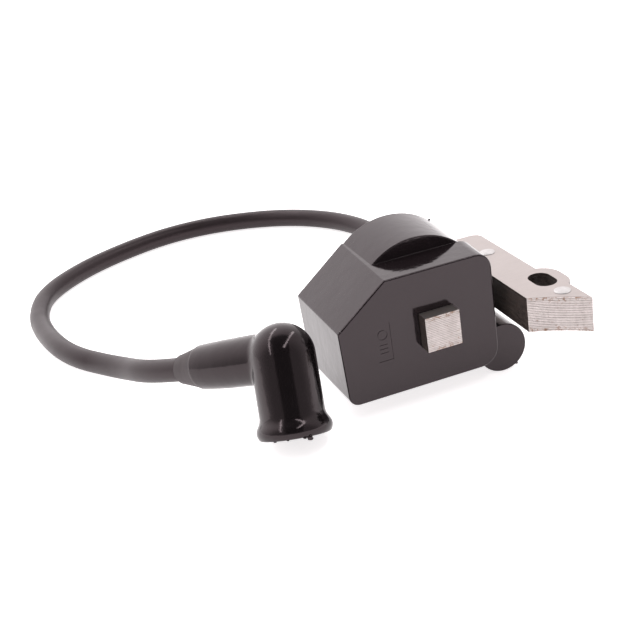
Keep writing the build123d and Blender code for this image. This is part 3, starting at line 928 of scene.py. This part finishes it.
def make_housing(look):
    """The moulded cup: block, shelf, round back and outlet boss, open at the back."""
    skin = block_skin(0.0, OUTER_CORNERS, 0.0, HOUSING_D, 0.5, 0.25)
    skin = carved(skin, corner_tool(FIT_GAP, SHELF_D, HOUSING_D + 1.0))
    skin = carved(skin, bump_skin(0.0, SHELF_D, HOUSING_D, 0.35, 0.25, BUMP_FLAT_Z), "UNION")
    profile = [(BOSS_R - i, y) for y, i in edge_profile(BOSS_Y, HOUSING_D, 0.35, 0.3)]
    boss = turned(profile, Vector((BOSS_X, 0.0, BOSS_Z)), ALONG_Y)
    skin = carved(skin, boss, "UNION")
    skin = carved(skin, cavity_tool())
    half = LEG_HALF + WINDOW_GAP
    window = box_tool(LEG_X - half, LEG_X + half, -1, 3, LEG_Z - half, LEG_Z + half)
    skin = carved(skin, window)
    for radius, y0 in ((LEAD_R + FIT_GAP, LEAD_START_Y), (MOUTH_R, MOUTH_Y)):
        skin = carved(skin, rod(radius, BOSS_X, BOSS_Z, y0, HOUSING_D + 1))
    for x0, x1, z0, z1 in mark_bars():
        skin = carved(skin, box_tool(x0, x1, -0.5, MARK_D, z0, z1))
    profile = [(1.25, -0.5), (1.25, MARK_D), (1.45, MARK_D), (1.45, -0.5)]
    ring = turned(profile, Vector((11.6, 0.0, 18.6)), ALONG_Y, 48)
    skin = carved(skin, ring)
    nubs = [
        chip(3, 0.30, (0.25, 0.1, 22.9), (1.2, 1.0, 0.8)),
        chip(4, 0.42, (BOSS_X + 4.0, BOSS_Y + 0.35, BOSS_Z - 6.1), (1.1, 0.8, 1.0)),
        chip(8, 0.34, (BUMP_X + 13.2, HOUSING_D - 0.4, BUMP_Z + 15.95), (1.8, 1.0, 0.8)),
    ]
    half_seam = math.sqrt(BUMP_R**2 - (SHELF_TOP - BUMP_Z) ** 2)
    seam_middle = Vector((BUMP_X, SHELF_D, SHELF_TOP))
    seam = turned([(0.09, -half_seam), (0.09, half_seam)], seam_middle, ALONG_X, 12)
    for nub in [*nubs, seam]:
        skin = carved(skin, nub, "UNION")
    return placed("housing_shell", skin, [look], ["housing"], sharp=34.0)


def mark_bars():
    """A plain engraved frame, in place of the mould's own mark: (x0, x1, z0, z1)."""
    return [
        (9.7, 14.0, 10.8, 10.95),
        (13.85, 14.0, 10.8, 21.7),
        (10.4, 12.8, 13.2, 13.35),
        (10.4, 12.8, 14.4, 14.55),
        (10.4, 12.8, 15.6, 15.75),
    ]


def wall_distance(x, z, y):
    """How far a point of the resin's face is from the cup's wall."""
    points = grown(outline(), DRAFT * y / HOUSING_D - WALL)
    inside = np.full(x.shape, -1e9)
    for i, (x0, z0) in enumerate(points):
        x1, z1 = points[(i + 1) % len(points)]
        long = math.hypot(x1 - x0, z1 - z0)
        nx, nz = (z1 - z0) / long, -(x1 - x0) / long
        inside = np.maximum(inside, nx * (x - x0) + nz * (z - z0))
    around = np.hypot(x - BUMP_X, z - BUMP_Z) - (BUMP_R - WALL + DRAFT)
    around = np.where(z > 28.0, around, 1e9)
    inside = np.where((z > 28.0) & (x > BUMP_X), 1e9, inside)
    wall = -np.minimum(inside, around)
    boss = np.hypot(x - BOSS_X, z - BOSS_Z) - BOSS_R
    leg = np.maximum(np.abs(x - LEG_X), np.abs(z - LEG_Z)) - LEG_HALF
    return np.maximum(np.minimum(np.minimum(wall, boss), leg), 0.0)


def resin_slab():
    """A slab whose back is drawn up a little near the walls and the leg, and waves slowly."""
    xs = np.arange(-3.0, 50.0, 0.3)
    zs = np.arange(-3.0, 42.0, 0.3)
    gx, gz = np.meshgrid(xs, zs, indexing="ij")
    far = wall_distance(gx, gz, HOUSING_D)
    depth = HOUSING_D - RESIN_GAP + 0.34 * np.exp(-far / 0.55)
    depth += 0.07 * np.sin(gx * 0.31 + 1.0) * np.cos(gz * 0.27) + 0.04 * np.sin(gx * 0.9 + gz * 0.7)
    bm = bmesh.new()
    back = [[bm.verts.new((x, depth[i, j], z)) for j, z in enumerate(zs)] for i, x in enumerate(xs)]
    front = [[bm.verts.new((x, RESIN_Y0, z)) for z in zs] for x in xs]
    for i in range(len(xs) - 1):
        for j in range(len(zs) - 1):
            bm.faces.new((back[i][j], back[i][j + 1], back[i + 1][j + 1], back[i + 1][j]))
            bm.faces.new((front[i][j], front[i + 1][j], front[i + 1][j + 1], front[i][j + 1]))
    for i in range(len(xs) - 1):
        for j in (0, len(zs) - 1):
            bm.faces.new((back[i][j], back[i + 1][j], front[i + 1][j], front[i][j]))
    for j in range(len(zs) - 1):
        for i in (0, len(xs) - 1):
            bm.faces.new((back[i][j], front[i][j], front[i][j + 1], back[i][j + 1]))
    bmesh.ops.recalc_face_normals(bm, faces=bm.faces)
    slab = bpy.data.meshes.new("slab")
    bm.to_mesh(slab)
    bm.free()
    return slab


def make_resin(look):
    """The cast backfill, with the inner leg and the stop tab standing through it."""
    resin = carved(resin_slab(), cavity_tool(), "INTERSECT")
    half = LEG_HALF
    leg = box_tool(LEG_X - half, LEG_X + half, 20, 40, LEG_Z - half, LEG_Z + half)
    resin = carved(resin, leg)
    resin = carved(resin, box_tool(TAB_X0, TAB_X1, 20, 40, TAB_Z0, TAB_Z1))
    return placed("resin_fill", resin, [look], ["potting_resin"], sharp=40.0, weighted=False)


# ---------------------------------------------------------------- core


def arc(x, y, radius, a0, a1, steps):
    """Points on an arc, in degrees."""
    out = []
    for k in range(steps + 1):
        a = math.radians(a0 + (a1 - a0) * k / steps)
        out.append((x + radius * math.cos(a), y + radius * math.sin(a)))
    return out


def slot_loop(radius, x, y, half, steps=20):
    """A slot along Y with round ends."""
    return arc(x, y + half, radius, 0, 180, steps) + arc(x, y - half, radius, 180, 360, steps)


def core_loops():
    """The outline, two slots and three rivet holes of one lamination."""
    centre_y = POLE_Y - FLYWHEEL_R
    tip0 = math.degrees(math.acos((OUTER_IN_X - LEG_X) / FLYWHEEL_R))
    tip1 = math.degrees(math.acos((TIP_OUT_X - LEG_X) / FLYWHEEL_R))
    left = LEG_X - LEG_HALF
    right = LEG_X + LEG_HALF
    outer = [(left, POLE_Y), (right, POLE_Y), (right, YOKE_Y), (OUTER_IN_X, YOKE_Y)]
    outer += arc(LEG_X, centre_y, FLYWHEEL_R, tip0, tip1, 14)
    outer += arc(SLOT1_X, SLOT1_Y - SLOT_HALF, EAR_R, EAR_FROM, 0, 12)
    outer += arc(SLOT1_X, SLOT1_Y + SLOT_HALF, EAR_R, 0, EAR_TO, 16)
    outer += arc(OUTER_OUT_X - CORNER_R, CORNER_Y, CORNER_R, 0, 90, 10)
    outer += [(SLOT2_X + EAR_R, CORE_BACK_Y)]
    outer += arc(SLOT2_X, SLOT2_Y + SLOT_HALF, EAR_R, 0, 180, 36)
    outer += [(SLOT2_X - EAR_R, CORE_BACK_Y)]
    outer += arc(left + CORNER_R, CORNER_Y, CORNER_R, 90, 180, 10)
    loops = [outer]
    for x, y in ((SLOT1_X, SLOT1_Y), (SLOT2_X, SLOT2_Y)):
        loops.append(slot_loop(SLOT_R, x, y, SLOT_HALF))
    for x, y in RIVETS:
        loops.append(arc(x, y, RIVET_R, 0, 345, 23))
    return loops


def flat_mesh(loops, thick, broken, steps, place):
    """A flat plate from closed outlines, centred on a place, with its edges broken."""
    data = bpy.data.curves.new("plate", "CURVE")
    data.dimensions = "2D"
    data.fill_mode = "BOTH"
    data.extrude = thick / 2 - broken
    data.bevel_depth = broken
    data.bevel_resolution = steps
    data.offset = -broken
    for loop in loops:
        spline = data.splines.new("POLY")
        spline.points.add(len(loop) - 1)
        for point, (x, y) in zip(spline.points, loop):
            point.co = (x, y, 0.0, 1.0)
        spline.use_cyclic_u = True
    mesh = baked(bpy.data.objects.new("plate", data))
    mesh.transform(Matrix.Translation(place))
    return mesh


def joined(meshes):
    """Several meshes as one."""
    bm = bmesh.new()
    for mesh in meshes:
        bm.from_mesh(mesh)
    bmesh.ops.remove_doubles(bm, verts=bm.verts, dist=1e-5)
    bmesh.ops.recalc_face_normals(bm, faces=bm.faces)
    out = bpy.data.meshes.new("joined")
    bm.to_mesh(out)
    bm.free()
    return out


def paint_core(mesh):
    """Flat faces 0, ground pole ends 1, varnished sides 2."""
    centre = Vector((LEG_X, POLE_Y - FLYWHEEL_R))
    for face in mesh.polygons:
        x, y = face.center.xy
        if abs(face.normal.z) > 0.95:
            face.material_index = 0
        elif y < POLE_Y + 0.2 and abs((Vector((x, y)) - centre).length - FLYWHEEL_R) < 0.45:
            face.material_index = 1
        elif abs(x - LEG_X) < LEG_HALF + 0.1 and y < POLE_Y + 0.2:
            face.material_index = 1
        else:
            face.material_index = 2


def make_core(looks, rivet_look):
    """Twenty separate sheets, and the rivets through them."""
    draw = random.Random(11)
    loops = core_loops()
    sheets = []
    for i in range(SHEETS):
        shift = (draw.uniform(-SHEET_SLIP, SHEET_SLIP), draw.uniform(0.0, 2 * SHEET_SLIP))
        middle = STACK_Z0 + (i + 0.5) * SHEET_T
        sheets.append(flat_mesh(loops, SHEET_T, SHEET_BREAK, 0, (*shift, middle)))
    groups = [
        ("core_sheets", sheets[1:-1], "core_stack"),
        ("core_sheet_top", sheets[-1:], "core_top_lamination"),
        ("core_sheet_bottom", sheets[:1], "core_bottom_lamination"),
    ]
    for name, group, node in groups:
        mesh = joined(group)
        piece = placed(name, mesh, looks, [node], sharp=30.0)
        mesh.transform(TO_ROW.inverted())
        paint_core(mesh)
        mesh.transform(TO_ROW)
        piece.data.update()
    top = SHEET_T * SHEETS
    shank = [(RIVET_HEAD_R, 0.0), (RIVET_R, 0.0), (RIVET_R, top), (RIVET_HEAD_R, top)]
    profile = [(0, -0.35), (1.5, -0.3), (2.1, -0.16), *shank]
    dome = [(2.28, 0.12), (2.05, 0.22), (1.5, 0.31), (0.8, 0.345), (0, 0.35)]
    profile += [(radius, top + rise) for radius, rise in dome]
    rivets = [turned(profile, Vector((x, y, STACK_Z0)), UP, 48) for x, y in RIVETS]
    placed("rivets", joined(rivets), [rivet_look], ["core_rivets"], sharp=40.0)


# ---------------------------------------------------------------- small outside parts


def make_grommet(look):
    """The lead's rubber seal in the boss: a flange, a waist and a tapered sleeve."""
    hole = LEAD_R + FIT_GAP
    profile = [(hole, MOUTH_Y), (5.15, MOUTH_Y), (MOUTH_R, 27.2), (MOUTH_R, 30.6), (5.1, 30.9)]
    profile += [(4.95, 31.0)]
    profile += [(4.9, 31.5), (4.55, 31.75), (4.75, 32.1), (4.7, 32.6), (4.35, 32.85), (4.5, 33.2)]
    profile += [(4.42, 33.7), (4.25, 33.95), (3.9, 34.0), (hole, 33.85)]
    seal = turned(profile, Vector((BOSS_X, 0.0, BOSS_Z)), ALONG_Y, closed=True)
    return placed("lead_seal", seal, [look], ["lead_grommet"], sharp=45.0, weighted=False)


def make_tab(look):
    """The stop switch tab: a blade with a bevelled nose and a locking hole."""
    nose = TAB_Y1 - 1.0
    blade = [(TAB_X0, TAB_Y0), (TAB_X1, TAB_Y0), (TAB_X1, nose), (TAB_X1 - 0.9, TAB_Y1)]
    blade += [(TAB_X0 + 0.9, TAB_Y1), (TAB_X0, nose)]
    hole = arc((TAB_X0 + TAB_X1) / 2, TAB_Y1 - 2.4, TAB_HOLE_R, 0, 350, 35)
    middle = (0.0, 0.0, (TAB_Z0 + TAB_Z1) / 2)
    mesh = flat_mesh([blade, hole], TAB_Z1 - TAB_Z0, 0.12, 2, middle)
    return placed("stop_blade", joined([mesh]), [look], ["stop_terminal"], sharp=30.0)


def cad_looks(nodes):
    """Procedural materials for the CAD nodes that stay as they are."""
    looks = {
        "primary_bobbin": moulding("bobbin_nylon", (0.62, 0.58, 0.48), (0.50, 0.46, 0.37), 0.35, 0.5),
        "primary_winding": winding("copper", (0.72, 0.30, 0.14), (0.20, 0.06, 0.03), 0.5),
        "interlayer_film": moulding("film", (0.72, 0.48, 0.14), (0.55, 0.34, 0.09), 0.2, 0.35),
        "secondary_winding": winding("fine_copper", (0.60, 0.24, 0.11), (0.24, 0.08, 0.04), 0.12),
        "circuit_board": moulding("board", (0.32, 0.24, 0.10), (0.24, 0.17, 0.07), 0.4, 0.55, 3.0),
        "switch_transistor": moulding(
            "chip_black", (0.022, 0.022, 0.023), (0.013, 0.013, 0.014), 0.4, 0.6, 5.0
        ),
        "resistors": moulding("resistor_body", (0.56, 0.44, 0.27), (0.46, 0.35, 0.20), 0.3, 0.45),
        "timing_capacitor": moulding("capacitor_body", (0.48, 0.22, 0.05), (0.38, 0.16, 0.03), 0.3, 0.45),
        "diode": moulding("diode_glass", (0.30, 0.11, 0.06), (0.16, 0.05, 0.03), 0.1, 0.2),
        "earth_strip": metal("tinned_strip", (0.72, 0.70, 0.66), (0.58, 0.55, 0.50), 0.25, 0.42),
        "ht_contact": metal("brass", (0.78, 0.56, 0.22), (0.62, 0.42, 0.15), 0.25, 0.4),
        "plug_clip": metal("spring_steel", (0.62, 0.58, 0.50), (0.42, 0.38, 0.31), 0.28, 0.45),
    }
    looks["secondary_bobbin"] = looks["primary_bobbin"]
    looks["control_chip"] = looks["switch_transistor"]
    looks["ht_wire"] = looks["earth_strip"]
    for name, look in looks.items():
        for slot in nodes[name].material_slots:
            slot.material = look


# ---------------------------------------------------------------- studio


def make_floor():
    """A pale, softly lit table that runs out of sight."""
    bm = bmesh.new()
    bmesh.ops.create_grid(bm, x_segments=8, y_segments=8, size=4.0)
    mesh = bpy.data.meshes.new("floor")
    bm.to_mesh(mesh)
    bm.free()
    floor = bpy.data.objects.new("floor", mesh)
    show(floor)
    look = Look("floor")
    grain = look.noise(0.02, 2.0)
    colour = look.mix(grain, (0.90, 0.895, 0.895), (0.93, 0.925, 0.925))
    material = look.finish(colour, 0.9)
    look.shader.inputs["Emission Color"].default_value = (1.0, 0.975, 0.98, 1.0)
    look.shader.inputs["Emission Strength"].default_value = FLOOR_GLOW
    mesh.materials.append(material)


def tube_light(name, place, length, along, power):
    """A long thin overhead light, level, facing down."""
    data = bpy.data.lights.new(name, "AREA")
    data.shape = "RECTANGLE"
    data.size = length
    data.size_y = TUBE_WIDTH
    data.energy = power
    light = bpy.data.objects.new(name, data)
    light.location = (*place, TUBE_HEIGHT)
    light.rotation_euler = (0.0, 0.0, math.atan2(along[1], along[0]))
    show(light)


class Surroundings:
    """A world whose strength depends on the direction."""

    def __init__(self, colour):
        self.world = bpy.data.worlds.new("studio")
        self.world.use_nodes = True
        self.tree = self.world.node_tree
        self.back = self.tree.nodes["Background"]
        self.back.inputs["Color"].default_value = colour
        self.coords = self.tree.nodes.new("ShaderNodeTexCoord")

    def toward(self, direction):
        """1 straight toward the direction, -1 straight away from it."""
        node = self.tree.nodes.new("ShaderNodeVectorMath")
        node.operation = "DOT_PRODUCT"
        self.tree.links.new(self.coords.outputs["Generated"], node.inputs[0])
        node.inputs[1].default_value = direction
        return node.outputs["Value"]

    def ranged(self, value, a0, a1, b0, b1):
        node = self.tree.nodes.new("ShaderNodeMapRange")
        node.interpolation_type = "SMOOTHSTEP"
        self.tree.links.new(value, node.inputs[0])
        for i, v in enumerate((a0, a1, b0, b1)):
            node.inputs[i + 1].default_value = v
        return node.outputs[0]

    def math(self, operation, *values):
        node = self.tree.nodes.new("ShaderNodeMath")
        node.operation = operation
        for value, socket in zip(values, node.inputs):
            self.tree.links.new(value, socket)
        return node.outputs[0]

    def times(self, first, *others):
        for other in others:
            first = self.math("MULTIPLY", first, other)
        return first


def make_light():
    """White surroundings with a dark band over the operator, and two thin tubes."""
    around = Surroundings((1.0, 0.955, 0.965, 1.0))
    backdrop = around.ranged(around.toward(TO_BACKDROP), 0.2, 1.0, WORLD_GLOW, WORLD_BACK)
    ahead = around.toward(TO_OPERATOR)
    dimmer = around.ranged(ahead, -0.1, 0.6, 1.0, WORLD_FRONT)
    across = around.math("ABSOLUTE", around.toward(TO_OPERATORS_SIDE))
    narrow = around.ranged(across, 0.40, 0.54, 1.0, 0.0)
    above = around.ranged(around.toward(UP), 0.05, 0.16, 0.0, 1.0)
    near = around.ranged(ahead, -0.35, -0.05, 0.0, 1.0)
    band = around.ranged(around.times(narrow, above, near), 0.0, 1.0, 1.0, BAND_GLOW)
    glow = around.times(backdrop, dimmer, band)
    around.tree.links.new(glow, around.back.inputs["Strength"])
    bpy.context.scene.world = around.world
    tube_light("tube_left", (-0.49, 0.06), 1.74, (-1.14, -1.32), 2.6)
    tube_light("tube_right", (0.32, -0.075), 1.17, (-0.69, -0.94), 1.8)
    view = bpy.context.scene.view_settings
    view.view_transform = "Standard"
    view.look = "None"


# ---------------------------------------------------------------- build

make_camera()
lead_look = lead_rubber()
lead, lead_line = make_lead(lead_look)
boot = make_boot(boot_rubber(), lead_line)
make_housing(housing_plastic())
make_resin(resin_black())
make_core([ground_steel(), ground_ends(), varnished_sides()], rivet_steel())
make_grommet(moulding("grommet_rubber", (0.020, 0.018, 0.018), (0.012, 0.011, 0.011), 0.4, 0.55))
make_tab(metal("tinned_brass", (0.80, 0.76, 0.66), (0.62, 0.58, 0.48), 0.22, 0.40))
cad_looks(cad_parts)
make_floor()
make_light()
